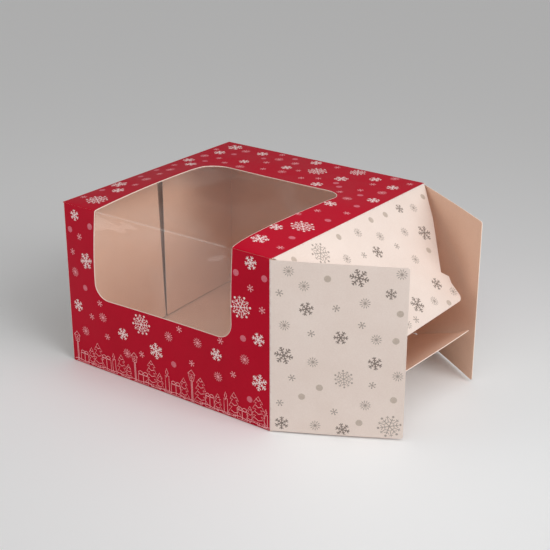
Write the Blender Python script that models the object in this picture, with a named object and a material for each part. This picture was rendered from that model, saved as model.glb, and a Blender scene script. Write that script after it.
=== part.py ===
"""Windowed cake box: one folded card blank round a clear film, with four flaps at each end.

Units are metres, +Z up, X to the right along the front, Y towards the back.
The origin is the middle of the bottom panel's underside.
The right end stands open and the left end is closed.
Every flap is modelled flat in its own frame: local X runs out from its crease,
local Y runs along the crease, and the object's origin lies on the crease's axis.
"""

import math

import bmesh
import bpy
from mathutils import Matrix, Vector

MM = 0.001

# Sheets
card_thickness = 0.6 * MM
film_thickness = 0.2 * MM
sheet_gap = 0.3 * MM
crease_bead_radius = 0.28 * MM

# The sleeve
box_width = 221 * MM
box_depth = 231 * MM
box_height = 150 * MM
seam_flap_height = 15 * MM
seam_flap_end_inset = 6 * MM
seam_flap_end_angle = math.radians(20)

# The window, one cut that runs over the front top edge
window_side_margin = 37 * MM
window_sill_height = 71.5 * MM
window_back_margin = 72 * MM
window_sill_radius = 14 * MM
window_back_radius = 19 * MM
film_overlap = 8 * MM
film_bend_radius = 1 * MM

# How far each right-hand flap is folded in from flat, at rest
front_dust_fold = math.radians(28.4)
back_dust_fold = math.radians(32.7)
top_flap_fold = math.radians(45)
bottom_flap_fold = math.radians(30.5)
closed_fold = math.radians(90)

# Dust flaps
dust_flap_edge_clearance = 0.6 * MM
dust_flap_edge_taper = 0.8 * MM
dust_flap_corner_radius = 2 * MM
dust_flap_short_of_middle = 9.5 * MM
left_front_dust_short_of_middle = 2.5 * MM
left_front_dust_edge_lean = 5.5 * MM
left_back_dust_short_of_middle = 5.5 * MM

# Top and bottom end flaps
end_flap_crease_relief = 2.5 * MM
end_flap_side_ease = math.radians(1.5)
end_flap_passage_clearance = 0.4 * MM
top_flap_tip_above_floor = 45.2 * MM
top_flap_corner_radius = 6 * MM
top_flap_side_bend_share = 0.42
tongue_length = 29.3 * MM
tongue_neck_inset = 3.4 * MM
tongue_flare = 2.8 * MM
tongue_shoulder_length = 6.5 * MM
tongue_flare_length = 12.5 * MM
bottom_flap_tip_below_top = 53 * MM
bottom_flap_corner_radius = 3 * MM
lock_slit_from_flap_end = 16.5 * MM
lock_slit_start = 3 * MM
lock_slit_length = 11.5 * MM
lock_slit_width = 0.8 * MM
lock_slit_eye_diameter = 2 * MM

# Faceting
arc_segments = 6
bead_sides = 12

# Places that follow from the sizes above
half_card = card_thickness / 2
layer_pitch = card_thickness + sheet_gap
crease_reach = crease_bead_radius + sheet_gap
front_y = half_card - box_depth / 2
back_y = box_depth / 2 - half_card
bottom_z = half_card
top_z = box_height - half_card
dust_crease_x = box_width / 2
bottom_crease_x = dust_crease_x + layer_pitch
top_crease_x = bottom_crease_x + layer_pitch
seam_crease_y = back_y - layer_pitch
window_width = box_width - 2 * window_side_margin
window_back_y = box_depth / 2 - window_back_margin
dust_flap_length = box_depth / 2 - dust_flap_short_of_middle
end_flap_half_crease = box_depth / 2 - end_flap_crease_relief
end_flap_side_slope = math.tan(max(front_dust_fold, back_dust_fold) + end_flap_side_ease)
end_flap_half_passage = (
    back_y
    - dust_flap_length * math.sin(max(front_dust_fold, back_dust_fold))
    - half_card
    - end_flap_passage_clearance
)
top_flap_length = box_height - top_flap_tip_above_floor
bottom_flap_length = box_height - bottom_flap_tip_below_top

AXIS_X = Vector((1, 0, 0))
AXIS_Y = Vector((0, 1, 0))
AXIS_Z = Vector((0, 0, 1))


def empty_scene():
    """Removes whatever the file holds."""
    for thing in list(bpy.data.objects):
        bpy.data.objects.remove(thing)


def new_collection(name):
    made = bpy.data.collections.new(name)
    bpy.context.scene.collection.children.link(made)
    return made


def new_material(name, colour, roughness, alpha=1.0):
    made = bpy.data.materials.new(name)
    made.use_nodes = True
    shader = made.node_tree.nodes["Principled BSDF"]
    shader.inputs["Base Color"].default_value = (*colour, 1)
    shader.inputs["Roughness"].default_value = roughness
    shader.inputs["Metallic"].default_value = 0
    shader.inputs["Alpha"].default_value = alpha
    made.diffuse_color = (*colour, alpha)
    return made


def mirrored(half):
    """A closed outline from its +Y half, listed from the crease outwards."""
    return [(x, -y, radius) for x, y, radius in half] + half[::-1]


def rounded(corners):
    """The points of a closed outline whose corners are (x, y, radius)."""
    points = []
    for i, (x, y, radius) in enumerate(corners):
        corner = Vector((x, y))
        if radius == 0:
            points.append(corner)
            continue
        before = (Vector(corners[i - 1][:2]) - corner).normalized()
        after = (Vector(corners[(i + 1) % len(corners)][:2]) - corner).normalized()
        half_angle = before.angle(after) / 2
        centre = corner + (before + after).normalized() * radius / math.sin(half_angle)
        start = corner + before * radius / math.tan(half_angle) - centre
        turn = start.angle_signed(corner + after * radius / math.tan(half_angle) - centre)
        for step in range(arc_segments + 1):
            points.append(centre + Matrix.Rotation(-turn * step / arc_segments, 2) @ start)
    return points


def frame_of(origin, out, along):
    """The matrix that puts local X on out and local Y on along."""
    columns = Matrix((out, along, out.cross(along))).transposed()
    return Matrix.Translation(origin) @ columns.to_4x4()


def folded(origin, out, along, axis, fold):
    """As frame_of, for a flap that is turned about its crease by fold."""
    turn = Matrix.Rotation(fold, 3, axis)
    return frame_of(origin, turn @ out, turn @ along)


def sheet(name, outline, thickness, frame, material, holes=()):
    """A flat sheet of card or film, cut to an outline in its frame's XY plane."""
    curve = bpy.data.curves.new(name, "CURVE")
    curve.dimensions = "2D"
    curve.fill_mode = "BOTH"
    curve.extrude = thickness / 2
    for loop in (outline, *holes):
        spline = curve.splines.new("POLY")
        spline.points.add(len(loop) - 1)
        for point, place in zip(spline.points, loop):
            point.co = (place[0], place[1], 0, 1)
        spline.use_cyclic_u = True
    drawn = bpy.data.objects.new(name, curve)
    parts.objects.link(drawn)
    drawn.matrix_world = frame
    bpy.context.view_layer.update()
    mesh = bpy.data.meshes.new_from_object(
        drawn.evaluated_get(bpy.context.evaluated_depsgraph_get())
    )
    bpy.data.objects.remove(drawn)
    bpy.data.curves.remove(curve)
    cut = bmesh.new()
    cut.from_mesh(mesh)
    bmesh.ops.remove_doubles(cut, verts=cut.verts, dist=film_thickness / 20)
    bmesh.ops.recalc_face_normals(cut, faces=cut.faces)
    cut.to_mesh(mesh)
    cut.free()
    mesh.name = name
    mesh.materials.clear()
    mesh.materials.append(material)
    made = bpy.data.objects.new(name, mesh)
    parts.objects.link(made)
    made.matrix_world = frame
    return made


def add_crease_bead(owner, start, end):
    """Rounds a sheet's edge where it is creased, from start to end in the owner's frame."""
    run = end - start
    ring = bmesh.new()
    bmesh.ops.create_cone(
        ring,
        cap_ends=True,
        segments=bead_sides,
        radius1=crease_bead_radius,
        radius2=crease_bead_radius,
        depth=run.length,
    )
    mesh = bpy.data.meshes.new(owner.name + "_bead")
    ring.to_mesh(mesh)
    ring.free()
    bead = bpy.data.objects.new(mesh.name, mesh)
    tools.objects.link(bead)
    bead.parent = owner
    turn = run.to_track_quat("Z", "Y").to_matrix().to_4x4()
    bead.matrix_local = Matrix.Translation((start + end) / 2) @ turn
    bead.hide_render = True
    bead.display_type = "WIRE"
    join = owner.modifiers.new("crease_bead", "BOOLEAN")
    join.operation = "UNION"
    join.solver = "EXACT"
    join.object = bead
    return bead


def build_sleeve():
    """The four panels, the seam flap and the film. None of them moves in this state."""
    half_width = dust_crease_x - crease_reach
    half_window = window_width / 2
    front_frame = frame_of(Vector((0, front_y, 0)), AXIS_X, AXIS_Z)
    panel_top = top_z - crease_reach
    front = sheet(
        "front_panel",
        rounded([
            (-half_width, bottom_z + crease_reach, 0),
            (half_width, bottom_z + crease_reach, 0),
            (half_width, panel_top, 0),
            (half_window, panel_top, 0),
            (half_window, window_sill_height, window_sill_radius),
            (-half_window, window_sill_height, window_sill_radius),
            (-half_window, panel_top, 0),
            (-half_width, panel_top, 0),
        ]),
        card_thickness, front_frame, red_card,
    )
    top_half_width = top_crease_x - crease_reach
    top = sheet(
        "top_panel",
        rounded([
            (-top_half_width, back_y, 0),
            (-top_half_width, front_y, 0),
            (-half_window, front_y, 0),
            (-half_window, window_back_y, window_back_radius),
            (half_window, window_back_y, window_back_radius),
            (half_window, front_y, 0),
            (top_half_width, front_y, 0),
            (top_half_width, back_y, 0),
        ]),
        card_thickness, frame_of(Vector((0, 0, top_z)), AXIS_X, AXIS_Y), red_card,
    )
    for side in (-1, 1):
        add_crease_bead(
            top,
            Vector((side * half_window, front_y, 0)),
            Vector((side * top_half_width, front_y, 0)),
        )
    add_crease_bead(
        top, Vector((-top_half_width, back_y, 0)), Vector((top_half_width, back_y, 0))
    )
    back = sheet(
        "back_panel",
        [(-half_width, 0), (half_width, 0), (half_width, panel_top), (-half_width, panel_top)],
        card_thickness, frame_of(Vector((0, back_y, 0)), AXIS_X, AXIS_Z), red_card,
    )
    bottom_half_width = bottom_crease_x - crease_reach
    bottom_back = seam_crease_y - crease_reach
    bottom = sheet(
        "bottom_panel",
        [
            (-bottom_half_width, front_y), (bottom_half_width, front_y),
            (bottom_half_width, bottom_back), (-bottom_half_width, bottom_back),
        ],
        card_thickness, frame_of(Vector((0, 0, bottom_z)), AXIS_X, AXIS_Y), white_card,
    )
    add_crease_bead(
        bottom,
        Vector((-bottom_half_width, front_y, 0)),
        Vector((bottom_half_width, front_y, 0)),
    )
    seam_half = box_width / 2 - seam_flap_end_inset
    seam_half_end = seam_half - seam_flap_height * math.tan(seam_flap_end_angle)
    seam = sheet(
        "glue_seam_flap",
        [
            (0, -seam_half), (seam_flap_height, -seam_half_end),
            (seam_flap_height, seam_half_end), (0, seam_half),
        ],
        card_thickness,
        frame_of(Vector((0, seam_crease_y, bottom_z)), AXIS_Z, AXIS_X),
        white_card,
    )
    add_crease_bead(seam, Vector((0, -seam_half, 0)), Vector((0, seam_half, 0)))
    return front, top, back, bottom, seam


def build_window_film():
    """One strip of film, creased once and held to the insides of the front and top panels."""
    inset = half_card + sheet_gap + film_thickness / 2
    corner = Vector((front_y + inset, top_z - inset))
    low = window_sill_height - film_overlap
    back = window_back_y + film_overlap
    half_film = film_thickness / 2
    outer, inner = film_bend_radius + half_film, film_bend_radius - half_film
    section = rounded([
        (corner.x - half_film, low, 0),
        (corner.x + half_film, low, 0),
        (corner.x + half_film, corner.y - half_film, inner),
        (back, corner.y - half_film, 0),
        (back, corner.y + half_film, 0),
        (corner.x - half_film, corner.y + half_film, outer),
    ])
    frame = frame_of(Vector((0, 0, 0)), AXIS_Y, AXIS_Z)
    return sheet("window_film", section, window_width + 2 * film_overlap, frame, clear_film)


def dust_flap_outline(top_length, foot_length):
    """Local Y runs up the crease, from the middle of the box's height."""
    half = box_height / 2 - card_thickness - dust_flap_edge_clearance
    half_end = half - dust_flap_edge_taper
    return rounded([
        (0, -half, 0),
        (foot_length, -half_end, dust_flap_corner_radius),
        (top_length, half_end, dust_flap_corner_radius),
        (0, half, 0),
    ]), half


def tongue_outline():
    """The top end flap: tapered sides, then a flared tongue that passes between the dust flaps."""
    neck_x = top_flap_length - tongue_length
    neck_y = end_flap_half_passage - tongue_neck_inset
    bend_x = neck_x * top_flap_side_bend_share
    half = [
        (0, end_flap_half_crease, 0),
        (bend_x, end_flap_half_crease - bend_x * end_flap_side_slope, 0),
        (neck_x, neck_y, 0),
        (neck_x + tongue_shoulder_length, end_flap_half_passage + tongue_flare, 0),
        (neck_x + tongue_flare_length, end_flap_half_passage, 0),
        (top_flap_length, end_flap_half_passage, top_flap_corner_radius),
    ]
    return rounded(mirrored(half))


def bottom_flap_outline():
    """The bottom end flap: tapered sides, then a short straight end of the tongue's width."""
    taper_x = (end_flap_half_crease - end_flap_half_passage) / end_flap_side_slope
    half = [
        (0, end_flap_half_crease, 0),
        (taper_x, end_flap_half_passage, 0),
        (bottom_flap_length, end_flap_half_passage, bottom_flap_corner_radius),
    ]
    return rounded(mirrored(half))


def lock_slits():
    """A fine cut beside each end of the crease, closed by a round eye so that it doesn't tear."""
    y = end_flap_half_crease - lock_slit_from_flap_end
    half = lock_slit_width / 2
    eye = lock_slit_eye_diameter / 2
    meet = math.asin(half / eye)
    eye_x = lock_slit_start + lock_slit_length - eye
    turns = [math.pi - meet - 2 * (math.pi - meet) * i / arc_segments for i in range(arc_segments + 1)]
    ring = [(eye_x + eye * math.cos(a), eye * math.sin(a)) for a in turns]
    one = [(lock_slit_start, -half), (lock_slit_start, half), *ring]
    return [[(x, side * y + dy) for x, dy in one] for side in (-1, 1)]


def build_end(side, front_fold, back_fold, top_fold, bottom_fold, dust_lengths):
    """The four flaps of one end. side is 1 at the right and -1 at the left."""
    end = "right" if side > 0 else "left"
    out = AXIS_X * side
    middle = box_height / 2
    (front_top, front_foot), (back_top, back_foot) = dust_lengths
    for name, y, turn, fold, lengths in (
        ("front", front_y, 1, front_fold, (front_top, front_foot)),
        ("back", back_y, -1, back_fold, (back_top, back_foot)),
    ):
        outline, half = dust_flap_outline(*lengths)
        flap = sheet(
            f"{end}_{name}_dust_flap", outline, card_thickness,
            folded(Vector((side * dust_crease_x, y, middle)), out, AXIS_Z, AXIS_Z, side * turn * fold),
            white_card,
        )
        add_crease_bead(flap, Vector((0, -half, 0)), Vector((0, half, 0)))
    crease_ends = (Vector((0, -end_flap_half_crease, 0)), Vector((0, end_flap_half_crease, 0)))
    top = sheet(
        f"{end}_top_flap", tongue_outline(), card_thickness,
        folded(Vector((side * top_crease_x, 0, top_z)), out, AXIS_Y, AXIS_Y, side * top_fold),
        white_card,
    )
    add_crease_bead(top, *crease_ends)
    bottom = sheet(
        f"{end}_bottom_flap", bottom_flap_outline(), card_thickness,
        folded(Vector((side * bottom_crease_x, 0, bottom_z)), out, AXIS_Y, AXIS_Y, -side * bottom_fold),
        white_card, lock_slits(),
    )
    add_crease_bead(bottom, *crease_ends)


empty_scene()
parts = new_collection("windowed_cake_box")
tools = new_collection("crease_tools")
red_card = new_material("red printed card", (0.58, 0.02, 0.05), 0.45)
white_card = new_material("white printed card", (0.78, 0.72, 0.68), 0.5)
clear_film = new_material("clear film", (0.9, 0.9, 0.9), 0.1, alpha=0.25)

build_sleeve()
build_window_film()
build_end(
    1, front_dust_fold, back_dust_fold, top_flap_fold, bottom_flap_fold,
    ((dust_flap_length, dust_flap_length), (dust_flap_length, dust_flap_length)),
)
left_front_length = box_depth / 2 - left_front_dust_short_of_middle
left_back_length = box_depth / 2 - left_back_dust_short_of_middle
build_end(
    -1, closed_fold, closed_fold, closed_fold, closed_fold,
    (
        (left_front_length, left_front_length + left_front_dust_edge_lean),
        (left_back_length, left_back_length),
    ),
)
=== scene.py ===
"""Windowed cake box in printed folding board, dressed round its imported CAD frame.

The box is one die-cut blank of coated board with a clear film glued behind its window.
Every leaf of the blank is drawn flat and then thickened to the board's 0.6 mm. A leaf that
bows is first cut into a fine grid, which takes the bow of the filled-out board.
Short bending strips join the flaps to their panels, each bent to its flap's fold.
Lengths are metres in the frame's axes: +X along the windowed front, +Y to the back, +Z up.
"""

import logging
import math
import random
from collections.abc import Callable, Iterable, Sequence
from dataclasses import dataclass, field
from enum import Enum

import bpy
import numpy as np
from mathutils import Matrix, Vector


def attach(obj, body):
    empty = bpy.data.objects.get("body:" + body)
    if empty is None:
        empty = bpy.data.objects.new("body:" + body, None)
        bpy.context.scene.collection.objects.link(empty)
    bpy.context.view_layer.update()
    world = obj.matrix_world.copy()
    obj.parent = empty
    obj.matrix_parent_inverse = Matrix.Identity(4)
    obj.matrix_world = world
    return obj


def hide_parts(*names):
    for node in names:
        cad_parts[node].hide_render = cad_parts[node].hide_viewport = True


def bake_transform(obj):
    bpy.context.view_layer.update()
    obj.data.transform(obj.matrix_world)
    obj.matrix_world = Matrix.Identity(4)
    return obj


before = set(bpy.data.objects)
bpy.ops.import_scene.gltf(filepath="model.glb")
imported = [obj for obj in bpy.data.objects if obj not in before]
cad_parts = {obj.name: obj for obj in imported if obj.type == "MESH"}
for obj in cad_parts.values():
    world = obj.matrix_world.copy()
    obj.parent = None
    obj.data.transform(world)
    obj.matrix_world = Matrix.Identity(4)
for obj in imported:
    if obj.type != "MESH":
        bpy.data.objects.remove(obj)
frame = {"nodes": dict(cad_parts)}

LOG = logging.getLogger("cake_box")
MM = 0.001

AXIS_X, AXIS_Y, AXIS_Z = Vector((1, 0, 0)), Vector((0, 1, 0)), Vector((0, 0, 1))
SAME_PLACE = 1e-6
CORNER_CUTS = 8
INNER_FACE, CUT_EDGE = 1, 2  # where they come among a board piece's finishes
SHARP_EDGE = math.radians(30)
DECIMETRE = 100  # in mm, for how thickly crystals are strewn

Spot = tuple[float, float, float]  # a corner's x, y and radius
Mark = tuple[float, float, float]  # a crystal's x, y and width in mm
Line = list[tuple[float, float]]  # the points of a drawn line
Form = Callable[[np.ndarray, np.ndarray], np.ndarray]  # a leaf's rise at each x and y


class Slot(Enum):
    """The kinds of face: red and white printed board, and the film."""

    RED = "printed_card_red"
    WHITE = "printed_card_white"
    FILM = "clear_film"


class Side(Enum):
    """Which end of the box a flap belongs to."""

    RIGHT = 1
    LEFT = -1

    @property
    def word(self) -> str:
        """The end's name as the CAD nodes spell it."""
        return self.name.lower()


class Kind(Enum):
    """The kinds of printed snow crystal."""

    FERN = "fern"
    STAR = "star"
    ROSETTE = "rosette"
    SPARK = "spark"
    DISC = "disc"
    LACE = "lace"


# Mesh tools


def start_clean() -> None:
    """Leaves edit mode and deselects everything, so that an operator acts on one piece."""
    if bpy.context.object and bpy.context.object.mode != "OBJECT":
        bpy.ops.object.mode_set(mode="OBJECT")
    bpy.ops.object.select_all(action="DESELECT")


def pick(obj: bpy.types.Object) -> None:
    """Makes one object the active and only selected one."""
    start_clean()
    obj.select_set(True)
    bpy.context.view_layer.objects.active = obj


def edit(obj: bpy.types.Object) -> None:
    """Opens one object in edit mode with everything in it selected."""
    pick(obj)
    bpy.ops.object.mode_set(mode="EDIT")
    bpy.ops.mesh.select_mode(type="VERT")
    bpy.ops.mesh.select_all(action="SELECT")


def close_edit() -> None:
    """Goes back to object mode."""
    bpy.ops.object.mode_set(mode="OBJECT")


def named(name: str) -> bpy.types.Object:
    """Names the active object and its mesh.

    Args:
        name: the piece's name.

    Returns:
        The active object.
    """
    obj = bpy.context.object
    obj.name = obj.data.name = name
    return obj


def select_point(obj: bpy.types.Object, x: float, y: float) -> None:
    """Selects the vertex at one place of a flat sheet, in edit mode.

    Args:
        obj: the sheet.
        x: the vertex's x.
        y: the vertex's y.
    """
    bpy.ops.mesh.select_mode(type="VERT")
    bpy.ops.mesh.select_all(action="DESELECT")
    bpy.ops.object.mode_set(mode="OBJECT")
    for vertex in obj.data.vertices:
        vertex.select = abs(vertex.co.x - x) < SAME_PLACE and abs(vertex.co.y - y) < SAME_PLACE
    bpy.ops.object.mode_set(mode="EDIT")


def draw_line(points: Sequence[tuple[float, float]]) -> None:
    """Extrudes the one selected vertex, which lies at the origin, along a line.

    Args:
        points: the line's points in the sheet's plane.
    """
    at = Vector((0, 0))
    for number, point in enumerate(points):
        step = Vector(point) - at
        at = Vector(point)
        if number == 0:
            bpy.ops.transform.translate(value=(step.x, step.y, 0))
        else:
            bpy.ops.mesh.extrude_vertices_move(
                TRANSFORM_OT_translate={"value": (step.x, step.y, 0)}
            )


def weld(reach: float) -> None:
    """Merges vertices that lie within a reach of each other and selects all that is left."""
    bpy.ops.mesh.select_all(action="SELECT")
    bpy.ops.mesh.remove_doubles(threshold=reach)
    bpy.ops.mesh.select_all(action="SELECT")


def fill_outline(points: Sequence[tuple[float, float]], reach: float) -> None:
    """Draws an outline from the one selected vertex and fills it with a face.

    Args:
        points: the outline's points, the first of them again at the end.
        reach: how near its two ends lie to be one vertex.
    """
    draw_line(points)
    weld(reach)
    bpy.ops.mesh.edge_face_add()


def rectangle(half: float, low: float, high: float) -> list[Spot]:
    """The corners of a rectangle with its middle on X 0."""
    return [(-half, low, 0), (half, low, 0), (half, high, 0), (-half, high, 0)]


def start_point(name: str) -> bpy.types.Object:
    """Makes a mesh of one selected vertex at the origin, in edit mode."""
    start_clean()
    bpy.ops.mesh.primitive_plane_add(size=MM, location=(0, 0, 0))
    obj = named(name)
    edit(obj)
    bpy.ops.mesh.merge(type="CENTER")
    return obj


def cut_sheet(name: str, corners: Sequence[Spot]) -> bpy.types.Object:
    """Cuts a flat sheet to an outline, as a die cuts board.

    Args:
        name: the piece's name.
        corners: the outline's corners as x, y and corner radius, in order.

    Returns:
        The sheet, one face in the XY plane, facing +Z.
    """
    obj = start_point(name)
    flat = [(x, y) for x, y, _ in corners]
    fill_outline([*flat, flat[0]], reach=1e-7)
    for number, (x, y, radius) in enumerate(corners):
        if radius <= 0:
            continue
        here = Vector((x, y))
        before = Vector(flat[number - 1]) - here
        after = Vector(flat[(number + 1) % len(flat)]) - here
        select_point(obj, x, y)
        bpy.ops.mesh.bevel(
            offset_type="OFFSET", offset=radius / math.tan(before.angle(after) / 2),
            segments=CORNER_CUTS, affect="VERTICES",
        )
    bpy.ops.mesh.select_all(action="SELECT")
    bpy.ops.mesh.normals_make_consistent(inside=False)
    close_edit()
    if obj.data.polygons[0].normal.z < 0:
        edit(obj)
        bpy.ops.mesh.flip_normals()
        close_edit()
    return obj


def bisect(axis: int, place: float, **clear: bool) -> None:
    """Cuts the whole of a flat piece along one straight line, in edit mode.

    Args:
        axis: 0 for a line across X and 1 for a line across Y.
        place: where the line lies on that axis.
        clear: which side of the line to clear away.
    """
    normal = (1, 0, 0) if axis == 0 else (0, 1, 0)
    bpy.ops.mesh.select_all(action="SELECT")
    bpy.ops.mesh.bisect(plane_co=tuple(place * n for n in normal), plane_no=normal, **clear)


def score(obj: bpy.types.Object, axis: int, places: Iterable[float]) -> None:
    """Cuts a flat sheet along straight lines, so that it can bend there.

    Args:
        obj: the sheet.
        axis: 0 for lines across X and 1 for lines across Y.
        places: where the lines lie on that axis.
    """
    edit(obj)
    for place in places:
        bisect(axis, place)
    close_edit()


def trim(obj: bpy.types.Object, axis: int, low: float, high: float) -> None:
    """Cuts away what lies outside two limits on one axis of a flat piece.

    Args:
        obj: the piece.
        axis: 0 for X and 1 for Y.
        low: the lower limit.
        high: the upper limit.
    """
    edit(obj)
    bisect(axis, low, clear_inner=True)
    bisect(axis, high, clear_outer=True)
    close_edit()


def steps(low: float, high: float, pitch: float) -> list[float]:
    """Evenly spaced places strictly between two limits.

    Args:
        low: the lower limit.
        high: the upper limit.
        pitch: the widest spacing wanted.

    Returns:
        The places.
    """
    count = max(1, math.ceil((high - low) / pitch))
    return [low + (high - low) * i / count for i in range(1, count)]


def moved_points(obj: bpy.types.Object, move: Callable[[np.ndarray], np.ndarray]) -> None:
    """Moves every vertex by one function of their places.

    Args:
        obj: the piece.
        move: takes an array of places and returns the new ones.
    """
    flat = np.zeros(len(obj.data.vertices) * 3, np.float32)
    obj.data.vertices.foreach_get("co", flat)
    new = move(flat.reshape(-1, 3).astype(float))
    obj.data.vertices.foreach_set("co", new.astype(np.float32).ravel())
    obj.data.update()


def thicken(obj: bpy.types.Object, thickness: float, inner: int = 0, rim: int = 0) -> None:
    """Gives a sheet its thickness, half to each side.

    Args:
        obj: the sheet.
        thickness: its thickness.
        inner: how many places after the outer face's finish the inner face's is.
        rim: how many places after it the cut edge's is.
    """
    pick(obj)
    solid = obj.modifiers.new("board", "SOLIDIFY")
    solid.thickness = thickness
    solid.offset = 0
    solid.material_offset = inner
    solid.material_offset_rim = rim
    bpy.ops.object.modifier_apply(modifier=solid.name)


def coat(obj: bpy.types.Object, finishes: Iterable[bpy.types.Material]) -> None:
    """Gives a piece its finishes, in the order that its faces count them."""
    for finish in finishes:
        obj.data.materials.append(finish)


def smooth(obj: bpy.types.Object) -> None:
    """Shades a piece smooth, but not over its sharp edges."""
    pick(obj)
    bpy.ops.object.shade_smooth_by_angle(angle=SHARP_EDGE)


def joined(name: str, pieces: Sequence[bpy.types.Object]) -> bpy.types.Object:
    """Joins pieces into one object with its place in its mesh.

    Args:
        name: the joined piece's name.
        pieces: the pieces, each with its own mesh.

    Returns:
        The joined object.
    """
    start_clean()
    for piece in pieces:
        piece.select_set(True)
    bpy.context.view_layer.objects.active = pieces[0]
    bpy.ops.object.transform_apply(location=True, rotation=True, scale=True)
    if len(pieces) > 1:
        bpy.ops.object.join()
    return named(name)


def copied(obj: bpy.types.Object, place: Matrix) -> bpy.types.Object:
    """Copies an object with a mesh of its own, at a place."""
    twin = obj.copy()
    twin.data = obj.data.copy()
    bpy.context.scene.collection.objects.link(twin)
    twin.matrix_world = place
    return twin


def remove(objects: Iterable[bpy.types.Object]) -> None:
    """Removes pattern pieces that were only copied from."""
    for obj in objects:
        bpy.data.objects.remove(obj)


# Finishes


def linear(colour: str) -> tuple[float, float, float, float]:
    """Turns an sRGB hex colour to linear.

    Args:
        colour: the colour as "#RRGGBB".

    Returns:
        Linear red, green and blue, and an alpha of 1.
    """
    parts = [int(colour[i : i + 2], 16) / 255 for i in (1, 3, 5)]
    values = [p / 12.92 if p <= 0.04045 else ((p + 0.055) / 1.055) ** 2.4 for p in parts]
    return (*values, 1.0)


def add_node(tree: bpy.types.NodeTree, kind: str, inputs: dict | None = None, **settings):
    """Adds a node with its settings and links.

    Args:
        tree: the node tree.
        kind: the node's type.
        inputs: socket name or number to a value, or to the socket that feeds it.
        settings: the node's own properties.

    Returns:
        The node.
    """
    node = tree.nodes.new(kind)
    for name, value in settings.items():
        setattr(node, name, value)
    for key, value in (inputs or {}).items():
        if isinstance(value, bpy.types.NodeSocket):
            tree.links.new(value, node.inputs[key])
        else:
            node.inputs[key].default_value = value
    return node


def grain(size: float) -> float:
    """The scale of a noise whose features are about this size across."""
    return 0.6 / size


def new_tree(name: str) -> tuple[bpy.types.Material, bpy.types.NodeTree]:
    """A material with an empty node tree.

    Args:
        name: the material's name.

    Returns:
        The material and its tree.
    """
    made = bpy.data.materials.new(name)
    made.use_nodes = True
    made.node_tree.nodes.clear()
    return made, made.node_tree


@dataclass(frozen=True)
class BoardFinish:
    """One face of folding boxboard.

    The clay-coated and litho-printed face has a satin sheen and a faint mottle of ink.
    The uncoated back is matt grey-buff pulp with flecks and short fibres.
    The die-cut edge shows the pale pulp core, in layers.
    Along a crease the coating is broken, and looks paler and rougher.
    """

    name: str
    colour: str
    shade: str
    roughness: float
    rough_spread: float = 0.06
    mottle_mm: float = 22
    tooth_mm: float = 0.7
    tooth_depth_mm: float = 0.012
    fleck: str = ""
    fleck_mm: float = 0.9
    fleck_share: float = 0.3
    specular: float = 0.5

    def make(self) -> bpy.types.Material:
        """Builds the finish.

        Returns:
            The material.
        """
        made, tree = new_tree(self.name)
        place = add_node(tree, "ShaderNodeTexCoord").outputs["Object"]
        mottle = add_node(
            tree, "ShaderNodeTexNoise",
            {"Vector": place, "Scale": grain(self.mottle_mm * MM), "Detail": 4, "Roughness": 0.6},
        )
        tooth = add_node(
            tree, "ShaderNodeTexNoise",
            {"Vector": place, "Scale": grain(self.tooth_mm * MM), "Detail": 3, "Roughness": 0.7},
        )
        mixed = add_node(
            tree, "ShaderNodeMath",
            {0: mottle.outputs["Fac"], 1: tooth.outputs["Fac"]}, operation="ADD",
        )
        spread = add_node(
            tree, "ShaderNodeMapRange",
            {"Value": mixed.outputs[0], "From Min": 0.72, "From Max": 1.28},
        )
        colour = add_node(
            tree, "ShaderNodeMix",
            {"Factor": spread.outputs[0], 6: linear(self.shade), 7: linear(self.colour)},
            data_type="RGBA",
        ).outputs[2]
        if self.fleck:
            fleck = add_node(
                tree, "ShaderNodeTexNoise",
                {"Vector": place, "Scale": grain(self.fleck_mm * MM), "Detail": 2,
                 "Roughness": 0.5, "Distortion": 0.8},
            )
            sharp = add_node(
                tree, "ShaderNodeMapRange",
                {"Value": fleck.outputs["Fac"], "From Min": 0.56, "From Max": 0.72,
                 "To Max": self.fleck_share},
            )
            colour = add_node(
                tree, "ShaderNodeMix",
                {"Factor": sharp.outputs[0], 6: colour, 7: linear(self.fleck)},
                data_type="RGBA",
            ).outputs[2]
        rough = add_node(
            tree, "ShaderNodeMapRange",
            {"Value": mottle.outputs["Fac"], "From Min": 0.35, "From Max": 0.65,
             "To Min": self.roughness - self.rough_spread,
             "To Max": self.roughness + self.rough_spread},
        )
        bump = add_node(
            tree, "ShaderNodeBump",
            {"Height": tooth.outputs["Fac"], "Distance": self.tooth_depth_mm * MM,
             "Strength": 0.6},
        )
        shader = add_node(
            tree, "ShaderNodeBsdfPrincipled",
            {"Base Color": colour, "Roughness": rough.outputs[0],
             "Normal": bump.outputs["Normal"], "IOR": 1.48,
             "Specular IOR Level": self.specular},
        )
        add_node(tree, "ShaderNodeOutputMaterial", {"Surface": shader.outputs[0]})
        return made


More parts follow.
